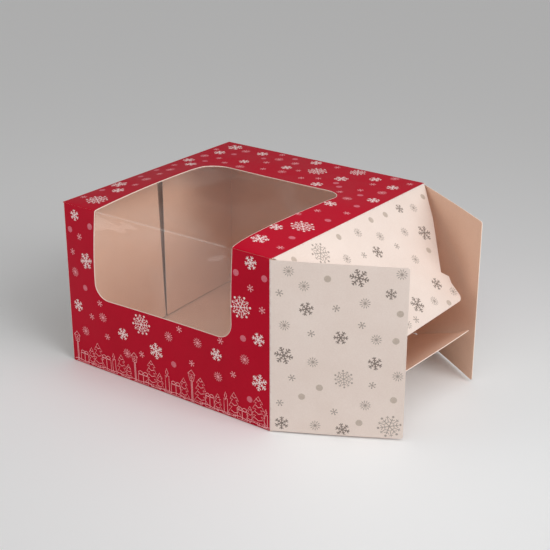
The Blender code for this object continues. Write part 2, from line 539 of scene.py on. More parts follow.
@dataclass(frozen=True)
class InkFinish:
    """Litho ink laid on the coated board, matt and slightly broken where it skips.

    It is white on the red board, silver grey on the white board, and paler where it is thin.
    """

    name: str
    colour: str
    thin: str
    roughness: float = 0.55
    skip_mm: float = 1.2

    def make(self) -> bpy.types.Material:
        """Builds the finish.

        Returns:
            The material.
        """
        made, tree = new_tree(self.name)
        place = add_node(tree, "ShaderNodeTexCoord").outputs["Object"]
        skip = add_node(
            tree, "ShaderNodeTexNoise",
            {"Vector": place, "Scale": grain(self.skip_mm * MM), "Detail": 3, "Roughness": 0.7},
        )
        held = add_node(
            tree, "ShaderNodeMapRange",
            {"Value": skip.outputs["Fac"], "From Min": 0.35, "From Max": 0.6},
        )
        colour = add_node(
            tree, "ShaderNodeMix",
            {"Factor": held.outputs[0], 6: linear(self.thin), 7: linear(self.colour)},
            data_type="RGBA",
        )
        shader = add_node(
            tree, "ShaderNodeBsdfPrincipled",
            {"Base Color": colour.outputs[2], "Roughness": self.roughness, "IOR": 1.48},
        )
        add_node(tree, "ShaderNodeOutputMaterial", {"Surface": shader.outputs[0]})
        return made


@dataclass(frozen=True)
class FilmFinish:
    """Clear PET window film: see-through, glossy at a slant, with a faint haze that is partly
    handling and partly painted reflection.

    Where it is creased it is whiter and rougher.
    """

    name: str
    tint: str
    veil: str
    haze: float
    roughness: float
    straight_on: float = 0.06
    at_a_slant: float = 0.5
    haze_and_reflection_patch_mm: float = 60
    index: float = 1.58

    def make(self) -> bpy.types.Material:
        """Builds the finish.

        Returns:
            The material.
        """
        made, tree = new_tree(self.name)
        place = add_node(tree, "ShaderNodeTexCoord").outputs["Object"]
        # Patches of haze, partly handling and partly painted reflection streaks
        haze_and_reflection_patches = add_node(
            tree, "ShaderNodeTexNoise",
            {"Vector": place, "Scale": grain(self.haze_and_reflection_patch_mm * MM), "Detail": 2,
             "Roughness": 0.4, "Distortion": 0.6},
        )
        haze = add_node(
            tree, "ShaderNodeMapRange",
            {"Value": haze_and_reflection_patches.outputs["Fac"], "From Min": 0.44, "From Max": 0.56,
             "To Min": self.haze * 0.4, "To Max": self.haze * 1.6},
        )
        slant = add_node(tree, "ShaderNodeLayerWeight", {"Blend": 0.5}).outputs["Facing"]
        steep = add_node(tree, "ShaderNodeMath", {0: slant, 1: 5.0}, operation="POWER")
        glare = add_node(
            tree, "ShaderNodeMapRange",
            {"Value": steep.outputs[0], "To Min": self.straight_on, "To Max": self.at_a_slant},
        )
        outside = add_node(
            tree, "ShaderNodeMath",
            {0: 1.0, 1: add_node(tree, "ShaderNodeNewGeometry").outputs["Backfacing"]},
            operation="SUBTRACT",
        ).outputs[0]
        glare, haze = (
            add_node(
                tree, "ShaderNodeMath", {0: each.outputs[0], 1: outside}, operation="MULTIPLY"
            ).outputs[0]
            for each in (glare, haze)
        )
        # A pale veil, partly haze and partly painted reflection of the bright surroundings
        veil = add_node(
            tree, "ShaderNodeBsdfPrincipled",
            {"Base Color": linear(self.veil), "Roughness": self.roughness, "IOR": self.index},
        )
        clear = add_node(tree, "ShaderNodeBsdfTransparent", {"Color": linear(self.tint)})
        gloss = add_node(
            tree, "ShaderNodeBsdfGlossy",
            {"Color": linear("#FFFFFF"), "Roughness": self.roughness},
        )
        sheet = add_node(
            tree, "ShaderNodeMixShader", {0: glare, 1: clear.outputs[0], 2: gloss.outputs[0]}
        )
        mix = add_node(
            tree, "ShaderNodeMixShader", {0: haze, 1: sheet.outputs[0], 2: veil.outputs[0]}
        )
        add_node(tree, "ShaderNodeOutputMaterial", {"Surface": mix.outputs[0]})
        return made


class Finishes:
    """Every finish of the box, built once."""

    def __init__(self) -> None:
        """Builds the materials."""
        self.red = BoardFinish(
            "coated_board_red_print", "#C20A2B", "#B80726", 0.4, tooth_depth_mm=0.008,
            specular=0.08,
        ).make()
        self.white = BoardFinish(
            "coated_board_white", "#E9DAD1", "#E2D1C7", 0.48, tooth_depth_mm=0.008,
            specular=0.3,
        ).make()
        self.bare = BoardFinish(
            "uncoated_board_back", "#F4CFB8", "#ECC5AD", 0.8, tooth_mm=0.9,
            tooth_depth_mm=0.03, fleck="#D2A78F", rough_spread=0.05, specular=0.2,
        ).make()
        self.edge = BoardFinish(
            "die_cut_board_edge", "#F8E9DE", "#EBD5C8", 0.85, mottle_mm=3, tooth_mm=0.25,
            tooth_depth_mm=0.04, rough_spread=0.04,
        ).make()
        self.crease = BoardFinish(
            "creased_board_coating", "#F0E4DE", "#D8BFB8", 0.6, mottle_mm=2, tooth_mm=0.4,
            tooth_depth_mm=0.05,
        ).make()
        self.snow_ink = InkFinish("white_ink_on_red", "#FBE9E6", "#F2D3D2").make()
        self.pale_ink = InkFinish("half_white_ink_on_red", "#EFA9AE", "#E58F99").make()
        self.faint_ink = InkFinish("thin_white_ink_on_red", "#DB7381", "#D25F70").make()
        self.line_ink = InkFinish("line_ink_on_red", "#F7C3C4", "#EFA9AE").make()
        self.silver_ink = InkFinish("silver_ink_on_white", "#7A6C64", "#8A7D75", 0.5).make()
        self.grey_ink = InkFinish("half_silver_ink_on_white", "#A1948B", "#ADA198", 0.5).make()
        self.mist_ink = InkFinish("thin_silver_ink_on_white", "#BDADA0", "#C6B7AB", 0.5).make()
        # The film's haze is partly handling and partly painted reflection
        self.film = FilmFinish("clear_pet_film", "#FEFDFC", "#F8F2EC", 0.05, 0.08).make()
        self.film_fold = FilmFinish("creased_pet_film", "#FEFDFC", "#FFF8F3", 0.12, 0.2).make()

    def ink_set(
        self, bold: bpy.types.Material, fine: bpy.types.Material, half: bpy.types.Material,
        thin: bpy.types.Material,
    ) -> dict[Kind, bpy.types.Material]:
        """The ink of each kind of crystal.

        Args:
            bold: the ink of the large bold crystals.
            fine: the ink of the lacy ones.
            half: the ink of the small ones.
            thin: the ink of the discs.

        Returns:
            Kind to ink.
        """
        return {
            Kind.FERN: bold, Kind.STAR: bold, Kind.LACE: fine, Kind.ROSETTE: half,
            Kind.SPARK: half, Kind.DISC: thin,
        }


# Sheets of the box


def frame_of(origin: Vector, out: Vector, normal: Vector) -> Matrix:
    """The matrix that puts local X on out and local Z on the outward normal."""
    columns = Matrix((out, normal.cross(out), normal)).transposed()
    return Matrix.Translation(origin) @ columns.to_4x4()


def flat_form(x: np.ndarray, y: np.ndarray) -> np.ndarray:
    """A leaf that stays flat."""
    return np.zeros_like(x)


def smoothstep(t: np.ndarray) -> np.ndarray:
    """An even rise from 0 to 1 while t goes from 0 to 1."""
    t = np.clip(t, 0, 1)
    return t * t * (3 - 2 * t)


@dataclass
class Board:
    """Sizes of the folded blank that its panels, film and flaps share."""

    width: float = 221 * MM
    depth: float = 231 * MM
    height: float = 150 * MM
    thickness: float = 0.6 * MM
    layer_pitch: float = 0.9 * MM
    hinge_reach: float = 0.62 * MM
    fold_radius: float = 0.7 * MM
    window_half: float = 73.5 * MM
    window_sill: float = 71.5 * MM
    window_back: float = 43.5 * MM
    sill_radius: float = 14 * MM
    back_radius: float = 19 * MM

    @property
    def front_y(self) -> float:
        """The middle of the front panel's thickness."""
        return self.thickness / 2 - self.depth / 2

    @property
    def back_y(self) -> float:
        """The middle of the back panel's thickness."""
        return -self.front_y

    @property
    def bottom_z(self) -> float:
        """The middle of the bottom panel's thickness."""
        return self.thickness / 2

    @property
    def top_z(self) -> float:
        """The middle of the top panel's thickness."""
        return self.height - self.thickness / 2

    @property
    def dust_x(self) -> float:
        """The dust flaps' creases."""
        return self.width / 2

    @property
    def bottom_x(self) -> float:
        """The bottom end flaps' creases."""
        return self.dust_x + self.layer_pitch

    @property
    def top_x(self) -> float:
        """The top end flaps' creases."""
        return self.bottom_x + self.layer_pitch

    @property
    def fold_arc(self) -> float:
        """The board's length in half of a right-angled fold."""
        return self.fold_radius * math.pi / 4


@dataclass
class Leaf:
    """One leaf of the blank, between its creases and cut edges.

    The pitch is that of the grid that a bowed leaf is cut into. The bends are where the folds
    at its lowest and highest Y begin, or None where it has none. The window is its half width
    and the lowest and highest Y at which the print has chipped along its edge.
    """

    name: str
    node: str
    body: str
    slot: Slot
    corners: list[Spot]
    frame: Matrix
    board: Board
    form: Form
    pitch: float
    bends: tuple[float | None, float | None] = (None, None)
    bend_cuts: int = 4
    window: tuple[float, float, float] | None = None
    rim: float = 0.4 * MM

    def folds(self) -> list[tuple[float, int]]:
        """Where each of its folds begins, and which way along Y it leads."""
        return [(at, sign) for at, sign in zip(self.bends, (-1, 1)) if at is not None]

    def along_bends(self, y: np.ndarray) -> tuple[np.ndarray, np.ndarray]:
        """Rolls the ends of the leaf round its two folds.

        Args:
            y: places across the leaf, on the flat blank.

        Returns:
            The places across the leaf and the depths behind its plane, once folded.
        """
        radius = self.board.fold_radius
        across, depth = y.copy(), np.zeros_like(y)
        for at, sign in self.folds():
            turn = np.clip(sign * (y - at) / radius, 0, None)
            over = turn > 0
            across[over] = at + sign * radius * np.sin(turn[over])
            depth[over] = radius * (1 - np.cos(turn[over]))
        return across, depth

    def placed(self, flat: np.ndarray, height: float = 0.0) -> np.ndarray:
        """Places on the folded box of places on the flat leaf.

        Args:
            flat: an array of places on the flat leaf.
            height: how far in front of the board's middle they lie.

        Returns:
            The places on the box.
        """
        across, depth = self.along_bends(flat[:, 1])
        rise = self.form(flat[:, 0], across) - depth + height + flat[:, 2]
        local = np.column_stack([flat[:, 0], across, rise])
        turn = np.array(self.frame.to_3x3())
        return local @ turn.T + np.array(self.frame.translation)

    def pale_rim(self, obj: bpy.types.Object) -> None:
        """Gives the window's die-cut edge the narrow line where the print has chipped.

        Args:
            obj: the flat leaf, one face.
        """
        edit(obj)
        bpy.ops.mesh.inset(thickness=self.rim)
        close_edit()
        half, low, high = self.window
        for face in obj.data.polygons:
            beside = abs(face.center.x) < half + self.rim and low < face.center.y < high
            if beside and len(face.vertices) == 4:
                face.material_index = CUT_EDGE

    def build(self, finishes: Sequence[bpy.types.Material]) -> bpy.types.Object:
        """Cuts, bows and thickens the leaf.

        Args:
            finishes: the outer face's, the inner face's and the cut edge's finish.

        Returns:
            The finished piece, on its body.
        """
        obj = cut_sheet(self.name, self.corners)
        if self.window:
            self.pale_rim(obj)
        if self.form is not flat_form:
            for axis in (0, 1):
                values = [corner[axis] for corner in self.corners]
                score(obj, axis, steps(min(values), max(values), self.pitch))
        arc = self.board.fold_arc
        for at, sign in self.folds():
            score(obj, 1, [at + sign * arc * i / self.bend_cuts for i in range(self.bend_cuts)])
        coat(obj, finishes)
        moved_points(obj, self.placed)
        thicken(obj, self.board.thickness, INNER_FACE, CUT_EDGE)
        smooth(obj)
        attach(obj, self.body)
        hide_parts(self.node)
        LOG.info("%s rides on %s", obj.name, self.body)
        return obj


@dataclass
class Bow:
    """How the filled-out board bows between its creases and the window's free edges.

    Each peak is a power. It moves the bow's highest place off the panel's middle: below 1
    towards the front, or on the front panel above 1 towards the top.
    """

    board: Board
    top_left: float = 4.4 * MM
    top_right: float = 4.2 * MM
    front_left: float = 4.4 * MM
    front_right: float = 2.6 * MM
    middle_sag: float = 0.35
    edge_ease: float = 0.25
    left_peak: float = 0.862
    right_peak: float = 0.515
    front_peak: float = 1.375
    back_hold: float = 0.65
    hold_start: float = 10 * MM
    hold_length: float = 50 * MM

    def across(self, x: np.ndarray, edge: float, left: np.ndarray, right: np.ndarray) -> np.ndarray:
        """Spreads two bow profiles over a panel's width.

        Args:
            x: places along the panel.
            edge: the half width of the panel, where the bow ends.
            left: the bow at the window's left edge.
            right: the bow at the window's right edge.

        Returns:
            The bow.
        """
        window = self.board.window_half
        lift = np.clip((edge - np.abs(x)) / (edge - window), 0, 1)
        lift = lift * (1 + self.edge_ease - self.edge_ease * lift)
        share = smoothstep((x + window) / (2 * window))
        sag = 1 - self.middle_sag * np.sin(math.pi * np.clip((x + window) / (2 * window), 0, 1))
        return (left * (1 - share) + right * share) * sag * lift

    def top(self, x: np.ndarray, y: np.ndarray) -> np.ndarray:
        """The top panel's rise, highest beside the window and held down behind it."""
        half = self.board.back_y
        t = np.clip((y + half) / (2 * half), 0, 1)
        held = 1 - self.back_hold * smoothstep((y - self.hold_start) / self.hold_length)
        left = self.top_left * np.sin(math.pi * t**self.left_peak) * held
        right = self.top_right * np.sin(math.pi * t**self.right_peak) * held
        return self.across(x, self.board.top_x - self.board.hinge_reach, left, right)

    def front(self, x: np.ndarray, z: np.ndarray) -> np.ndarray:
        """The front panel's bulge, strongest above the sill."""
        t = np.clip((z - self.board.bottom_z) / (self.board.top_z - self.board.bottom_z), 0, 1)
        wave = np.sin(math.pi * t**self.front_peak)
        return self.across(
            x, self.board.dust_x - self.board.hinge_reach,
            self.front_left * wave, self.front_right * wave,
        )


@dataclass
class Sleeve:
    """The four panels and the glue flap, folded to a tube."""

    board: Board
    bow: Bow
    seam_height: float = 15 * MM
    seam_inset: float = 6 * MM
    seam_slant: float = math.radians(20)
    rim_margin: float = 1 * MM
    pitch: float = 5 * MM
    leaves: dict[str, Leaf] = field(default_factory=dict)

    def __post_init__(self) -> None:
        """Lays out the leaves."""
        b, fold, arc = self.board, self.board.fold_radius, self.board.fold_arc
        side, wide, base = (x - b.hinge_reach for x in (b.dust_x, b.top_x, b.bottom_x))
        low, high = b.bottom_z + fold, b.top_z - fold
        foot, end = low - arc, high + arc
        near_y, far_y = b.front_y + fold, b.back_y - fold
        start, stop = near_y - arc, far_y + arc
        self.add("front_panel", Slot.RED, [
            (-side, foot, 0), (side, foot, 0), (side, end, 0), (b.window_half, end, 0),
            (b.window_half, b.window_sill, b.sill_radius),
            (-b.window_half, b.window_sill, b.sill_radius), (-b.window_half, end, 0),
            (-side, end, 0),
        ], (0, b.front_y, 0), AXIS_X, -AXIS_Y, self.bow.front, (low, high))
        self.add("top_panel", Slot.RED, [
            (-wide, stop, 0), (-wide, start, 0), (-b.window_half, start, 0),
            (-b.window_half, b.window_back, b.back_radius),
            (b.window_half, b.window_back, b.back_radius), (b.window_half, start, 0),
            (wide, start, 0), (wide, stop, 0),
        ], (0, 0, b.top_z), AXIS_X, AXIS_Z, self.bow.top, (near_y, far_y))
        self.add("back_panel", Slot.RED, rectangle(side, b.thickness, end),
                 (0, b.back_y, 0), -AXIS_X, AXIS_Y, flat_form, (None, high))
        seam_y = b.back_y - b.layer_pitch
        rear, front = -(seam_y - fold), -near_y
        self.add("bottom_panel", Slot.WHITE, rectangle(base, rear - arc, front + arc),
                 (0, 0, b.bottom_z), AXIS_X, -AXIS_Z, flat_form, (rear, front))
        half = b.width / 2 - self.seam_inset
        half_end = half - self.seam_height * math.tan(self.seam_slant)
        rise = b.bottom_z + self.seam_height
        self.add("glue_seam_flap", Slot.WHITE,
                 [(-half, foot, 0), (half, foot, 0), (half_end, rise, 0), (-half_end, rise, 0)],
                 (0, seam_y, 0), -AXIS_X, AXIS_Y, flat_form, (low, None))
        self.leaves["front_panel"].window = (b.window_half, b.window_sill - self.rim_margin, end)
        self.leaves["top_panel"].window = (b.window_half, start, b.window_back + self.rim_margin)

    def add(self, node: str, slot: Slot, corners: list[Spot], origin: Sequence[float],
            out: Vector, normal: Vector, form: Form,
            bends: tuple[float | None, float | None]) -> None:
        """Adds one leaf of the sleeve.

        Args:
            node: the CAD node that it stands for.
            slot: whether its outer face is printed red or white.
            corners: its outline on the flat blank.
            origin: the origin of its frame.
            out: its local X.
            normal: its outward normal.
            form: its bow.
            bends: where its two folds begin, or None where it has none.
        """
        place = frame_of(Vector(origin), out, normal)
        self.leaves[node] = Leaf(f"{node}_board", node, "sleeve", slot, corners, place,
                                 self.board, form, self.pitch, bends)

    def build(self, finishes: Finishes) -> None:
        """Builds the sleeve's leaves.

        Args:
            finishes: the box's finishes.
        """
        for leaf in self.leaves.values():
            outer = finishes.red if leaf.slot is Slot.RED else finishes.white
            leaf.build((outer, finishes.bare, finishes.edge))


@dataclass
class WindowFilm:
    """The clear film behind the window, bent once over the front top edge.

    A dent is its x and z, its length and width in mm, its turn in degrees and its depth in mm.
    """

    board: Board
    bow: Bow
    thickness: float = 0.15 * MM
    behind: float = 0.42 * MM
    overlap: float = 8 * MM
    bend_radius: float = 1.1 * MM
    bend_cuts: int = 8
    fold_ease: float = 6 * MM
    pitch: float = 2.4 * MM
    ripple: float = 0.22 * MM
    side_ease: float = 14 * MM
    end_ease: float = 12 * MM
    dent_fall: float = 1.6
    dents: tuple[tuple[float, ...], ...] = (
        (57, 140, 14, 3, 24, 0.9), (-57, 143, 17, 2.6, -9, 0.9), (-64, 135, 10, 2.4, 20, -0.6),
        (-66, 112, 22, 5, 80, 0.5),
    )

    def crumple(self, x: np.ndarray, v: np.ndarray, low: float, high: float) -> np.ndarray:
        """Fine slack in the film, nothing where it is glued.

        Args:
            x: places along the window.
            v: places across one face of the film.
            low: where the free film begins on that face.
            high: where it ends.

        Returns:
            The ripple's depth.
        """
        free = smoothstep((self.board.window_half - np.abs(x)) / self.side_ease)
        free = free * smoothstep((v - low) / self.end_ease) * smoothstep((high - v) / self.end_ease)
        # Two crossed pairs of waves, 60 mm over 145 mm and 82 mm over 195 mm long
        wave = (
            np.sin((x * 0.92 + v * 0.4) / (9.5 * MM)) * np.sin((v - 0.3 * x) / (23 * MM) + 0.7)
            + 0.7 * np.sin((x * 0.35 - v * 0.94) / (13 * MM) + 1.9) * np.cos(x / (31 * MM))
        )
        return self.ripple * free * wave

    def dented(self, x: np.ndarray, z: np.ndarray) -> np.ndarray:
        """The buckles of the front face: long shallow dents beside the fold.

        Args:
            x: places along the window.
            z: heights.

        Returns:
            How far the dents stand out.
        """
        total = np.zeros_like(x)
        for x0, z0, length, width, turn, depth in self.dents:
            c, s = math.cos(math.radians(turn)), math.sin(math.radians(turn))
            u, v = x / MM - x0, z / MM - z0
            far = ((u * c + v * s) / length) ** 2 + ((v * c - u * s) / width) ** 2
            total += depth * MM * np.exp(-self.dent_fall * far)
        return total

    @property
    def arc(self) -> float:
        """The film's length in its bend."""
        return self.bend_radius * math.pi / 2

    def placed(self, flat: np.ndarray) -> np.ndarray:
        """Bends the flat film over the front top edge.

        Args:
            flat: places on the flat film, with Y 0 where it bends.

        Returns:
            The places on the box.
        """
        b, r, arc = self.board, self.bend_radius, self.arc
        y0, z0 = b.front_y + self.behind, b.top_z - self.behind
        x, s = flat[:, 0], flat[:, 1]
        down = np.clip(-s - arc / 2, 0, None)
        back = np.clip(s - arc / 2, 0, None)
        turn = np.clip((s + arc / 2) / r, 0, math.pi / 2)
        y = y0 + r - r * np.cos(turn) + back
        z = z0 - r + r * np.sin(turn) - down
        ease_front, ease_top = (smoothstep(way / self.fold_ease) for way in (down, back))
        bulge = self.bow.front(x, z) * ease_front
        slack = self.crumple(x, z, b.window_sill, b.top_z - r) - self.dented(x, z)
        bulge = bulge + slack * ease_front
        rise = self.bow.top(x, y) * ease_top
        rise = rise + self.crumple(x, y, b.front_y + r, b.window_back) * ease_top
        return np.column_stack([x, y - bulge * (down > 0), z + rise * (back > 0)])

    def build(self, finishes: Finishes) -> bpy.types.Object:
        """Builds the film.

        Args:
            finishes: the box's finishes.

        Returns:
            The film, on the sleeve.
        """
        b, arc, cuts = self.board, self.arc, self.bend_cuts
        half = b.window_half + self.overlap
        z0, y0 = b.top_z - self.behind, b.front_y + self.behind
        low = -(z0 - self.bend_radius - (b.window_sill - self.overlap)) - arc / 2
        high = (b.window_back + self.overlap) - y0 - self.bend_radius + arc / 2
        obj = cut_sheet("window_film_sheet", rectangle(half, low, high))
        score(obj, 0, steps(-half, half, self.pitch))
        score(obj, 1, steps(low, -arc / 2, self.pitch))
        score(obj, 1, [-arc / 2 + arc * i / cuts for i in range(cuts + 1)])
        score(obj, 1, steps(arc / 2, high, self.pitch))
        coat(obj, (finishes.film, finishes.film_fold))
        for face in obj.data.polygons:
            face.material_index = int(abs(face.center.y) < arc / 2)
        moved_points(obj, self.placed)
        thicken(obj, self.thickness)
        smooth(obj)
        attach(obj, "sleeve")
        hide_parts("window_film")
        LOG.info("%s rides on sleeve", obj.name)
        return obj


@dataclass
class Crease:
    """A crease: a short strip of board that bends between a panel and a flap."""

    name: str
    body: str
    origin: Vector
    out: Vector
    normal: Vector
    half_length: float
    fold: float
    board: Board
    cuts: int = 10

    def build(self, finishes: Finishes) -> bpy.types.Object:
        """Builds the strip, bent between the panel and the flap at the flap's fold.

        Args:
            finishes: the box's finishes.

        Returns:
            The strip.
        """
        d = self.board.hinge_reach
        obj = cut_sheet(self.name, rectangle(d, -self.half_length, self.half_length))
        score(obj, 0, [-d + 2 * d * i / self.cuts for i in range(1, self.cuts)])
        place = frame_of(self.origin, self.out, self.normal)
        turn, origin = np.array(place.to_3x3()), np.array(self.origin)

        def bend(flat: np.ndarray) -> np.ndarray:
            """Bends the strip by a curve that meets both leaves square."""
            t = (flat[:, 0] + d) / (2 * d)
            x = -d * (1 - t) ** 2 + d * math.cos(self.fold) * t**2
            z = -d * math.sin(self.fold) * t**2
            return np.column_stack([x, flat[:, 1], z]) @ turn.T + origin

        moved_points(obj, bend)
        coat(obj, (finishes.crease, finishes.bare, finishes.edge))
        thicken(obj, self.board.thickness, INNER_FACE, CUT_EDGE)
        smooth(obj)
        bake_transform(obj)
        LOG.info("%s bends between sleeve and %s", obj.name, self.body)
        return obj


@dataclass
class EndFlaps:
    """The four flaps of one end, with the creases that they turn on.

    The folds are how far the flaps are turned in from flat. A dust flap's two lengths are
    those at its leaf's low-Y and high-Y ends. The leaf's Y runs up at the right end of the
    box and down at the left for a front flap, and the other way for a back flap.
    """

    board: Board
    side: Side
    front_fold: float
    back_fold: float
    top_fold: float
    bottom_fold: float
    front_lengths: tuple[float, float]
    back_lengths: tuple[float, float]
    curl: float = 1.0
    dust_lean: float = 0.0
    bottom_lift: float = 0.0
    pitch: float = 8 * MM
    dust_bow: float = 0.8 * MM
    top_bow: float = 0.2 * MM
    bottom_bow: float = -0.8 * MM
    lean_power: float = 1.6
    lift_power: float = 1.2
    corner_power: float = 1.5
    dust_half: float = 73.8 * MM
    dust_taper: float = 0.8 * MM
    dust_corner: float = 2 * MM
    half_crease: float = 113 * MM
    half_passage: float = 57.23 * MM
    side_slope: float = math.tan(math.radians(34.2))
    top_length: float = 104.8 * MM
    tongue: float = 29.3 * MM
    neck_inset: float = 3.4 * MM
    shoulder: float = 6.5 * MM
    flare: float = 2.8 * MM
    flare_length: float = 12.5 * MM
    side_bend_share: float = 0.42
    top_corner: float = 6 * MM
    bottom_length: float = 97 * MM
    bottom_corner: float = 3 * MM
    slit_from_end: float = 16.5 * MM
    slit_start: float = 3 * MM
    slit_length: float = 11.5 * MM
    slit_width: float = 0.5 * MM
    slit_eye: float = 1.6 * MM
    eye_sides: int = 16
    tool_depth: float = 8 * MM
    leaves: dict[str, Leaf] = field(default_factory=dict)
    creases: list[Crease] = field(default_factory=list)

    def __post_init__(self) -> None:
        """Lays out the flaps and their creases."""
        b, out = self.board, AXIS_X * self.side.value
        for word, y, normal, fold, lengths in (
            ("front_dust", b.front_y, -AXIS_Y, self.front_fold, self.front_lengths),
            ("back_dust", b.back_y, AXIS_Y, self.back_fold, self.back_lengths),
        ):
            self.add(word, Vector((out.x * b.dust_x, y, b.height / 2)), normal, fold,
                     self.dust_outline(*lengths), self.dust_half,
                     self.bowed(self.dust_bow, max(lengths), self.dust_lean))
        self.add("top", Vector((out.x * b.top_x, 0, b.top_z)), AXIS_Z, self.top_fold,
                 self.tongue_outline(), self.half_crease,
                 self.bowed(self.top_bow, self.top_length))
        self.add("bottom", Vector((out.x * b.bottom_x, 0, b.bottom_z)), -AXIS_Z,
                 self.bottom_fold, self.bottom_outline(), self.half_crease, self.twisted_bottom())

    def bowed(self, depth: float, length: float, lean: float = 0.0) -> Form:
        """A flap's slight bow, nothing at its crease, and how far its free end leans in.

        Args:
            depth: the bow at the flap's middle, outwards.
            length: the flap's length.
            lean: how far its free end stands inwards.

        Returns:
            The form.
        """
        def form(x: np.ndarray, y: np.ndarray) -> np.ndarray:
            """The bow and the lean at each place."""
            share = np.clip(x / length, 0, 1)
            bow = depth * self.curl * np.sin(math.pi * share)
            return bow - lean * share**self.lean_power

        return form if self.curl or lean else flat_form

    def twisted_bottom(self) -> Form:
        """The bottom flap's bow, with the near corner of its free end standing up.

        Returns:
            The form. The flap's local Y runs towards the box's front.
        """
        bow = self.bowed(self.bottom_bow, self.bottom_length)

        def form(x: np.ndarray, y: np.ndarray) -> np.ndarray:
            """The bow and the lift at each place."""
            out = np.clip(x / self.bottom_length, 0, 1) ** self.lift_power
            forward = np.clip((y / self.half_passage + 1) / 2, 0, 1.5) ** self.corner_power
            return bow(x, y) - self.bottom_lift * out * forward

        return form if self.bottom_lift else bow

    def mirrored(self, half: list[Spot]) -> list[Spot]:
        """A closed outline from its +Y half, listed from the crease outwards."""
        return [(x, -y, r) for x, y, r in half] + half[::-1]

    def dust_outline(self, low_length: float, high_length: float) -> list[Spot]:
        """A dust flap's outline, whose free edge may lean.

        Args:
            low_length: its length at its low-Y end.
            high_length: its length at its high-Y end.

        Returns:
            The outline.
        """
        d, half = self.board.hinge_reach, self.dust_half
        tip = half - self.dust_taper
        return [
            (d, -half, 0), (low_length, -tip, self.dust_corner),
            (high_length, tip, self.dust_corner), (d, half, 0),
        ]

    def tongue_outline(self) -> list[Spot]:
        """The top flap: tapered sides, then a flared tongue."""
        neck_x = self.top_length - self.tongue
        bend_x = neck_x * self.side_bend_share
        d = self.board.hinge_reach
        return self.mirrored([
            (d, self.half_crease - d * self.side_slope, 0),
            (bend_x, self.half_crease - bend_x * self.side_slope, 0),
            (neck_x, self.half_passage - self.neck_inset, 0),
            (neck_x + self.shoulder, self.half_passage + self.flare, 0),
            (neck_x + self.flare_length, self.half_passage, 0),
            (self.top_length, self.half_passage, self.top_corner),
        ])

    def bottom_outline(self) -> list[Spot]:
        """The bottom flap: tapered sides, then a short straight end."""
        taper_x = (self.half_crease - self.half_passage) / self.side_slope
        d = self.board.hinge_reach
        return self.mirrored([
            (d, self.half_crease - d * self.side_slope, 0),
            (taper_x, self.half_passage, 0),
            (self.bottom_length, self.half_passage, self.bottom_corner),
        ])

    def add(self, word: str, origin: Vector, normal: Vector, fold: float,
            corners: list[Spot], half: float, form: Form) -> None:
        """Adds one flap and its crease.

        Args:
            word: which flap it is.
            origin: the middle of its crease.
            normal: the outward normal of the panel that it hangs on.
            fold: how far it is folded in from flat.
            corners: its outline.
            half: half of its crease's length.
            form: its bow.
        """
        out = AXIS_X * self.side.value
        tip = out * math.cos(fold) - normal * math.sin(fold)
        face = normal * math.cos(fold) + out * math.sin(fold)
        body = f"{self.side.word}_{word}"
        node = f"{body}_flap"
        self.leaves[word] = Leaf(
            f"{node}_board", node, body, Slot.WHITE, corners, frame_of(origin, tip, face),
            self.board, form, self.pitch,
        )
        self.creases.append(
            Crease(f"{node}_crease", body, origin, out, normal, half, fold, self.board)
        )

    def cut_slits(self, flap: bpy.types.Object, leaf: Leaf, edge: bpy.types.Material) -> None:
        """Cuts the two fine slits beside the ends of the bottom flap's crease.

        Args:
            flap: the thick flap.
            leaf: the flap's leaf.
            edge: the finish of a cut edge.
        """
        tools = []
        eye_x = self.slit_start + self.slit_length - self.slit_eye / 2
        for sign in (-1, 1):
            y = sign * (self.half_crease - self.slit_from_end)
            start_clean()
            bpy.ops.mesh.primitive_cube_add(size=1)
            tool = named("slit_tool")
            edit(tool)
            bpy.ops.transform.resize(
                value=(eye_x - self.slit_start, self.slit_width, self.tool_depth)
            )
            bpy.ops.transform.translate(value=((eye_x + self.slit_start) / 2, y, 0))
            close_edit()
            tools.append(tool)
            start_clean()
            bpy.ops.mesh.primitive_cylinder_add(
                vertices=self.eye_sides, radius=self.slit_eye / 2, depth=self.tool_depth,
                location=(eye_x, y, 0),
            )
            tools.append(named("slit_eye_tool"))
        for tool in tools:
            tool.data.materials.append(edge)
            tool.data.transform(leaf.frame @ tool.matrix_basis)
            tool.matrix_basis = Matrix.Identity(4)
            pick(flap)
            cut = flap.modifiers.new("slit", "BOOLEAN")
            cut.object, cut.operation, cut.solver = tool, "DIFFERENCE", "EXACT"
            bpy.ops.object.modifier_apply(modifier=cut.name)
        remove(tools)

    def build(self, finishes: Finishes) -> None:
        """Builds the flaps and creases.

        Args:
            finishes: the box's finishes.
        """
        for word, leaf in self.leaves.items():
            flap = leaf.build((finishes.white, finishes.bare, finishes.edge))
            if word == "bottom":
                self.cut_slits(flap, leaf, finishes.edge)
        for crease in self.creases:
            crease.build(finishes)


# Printed ornament


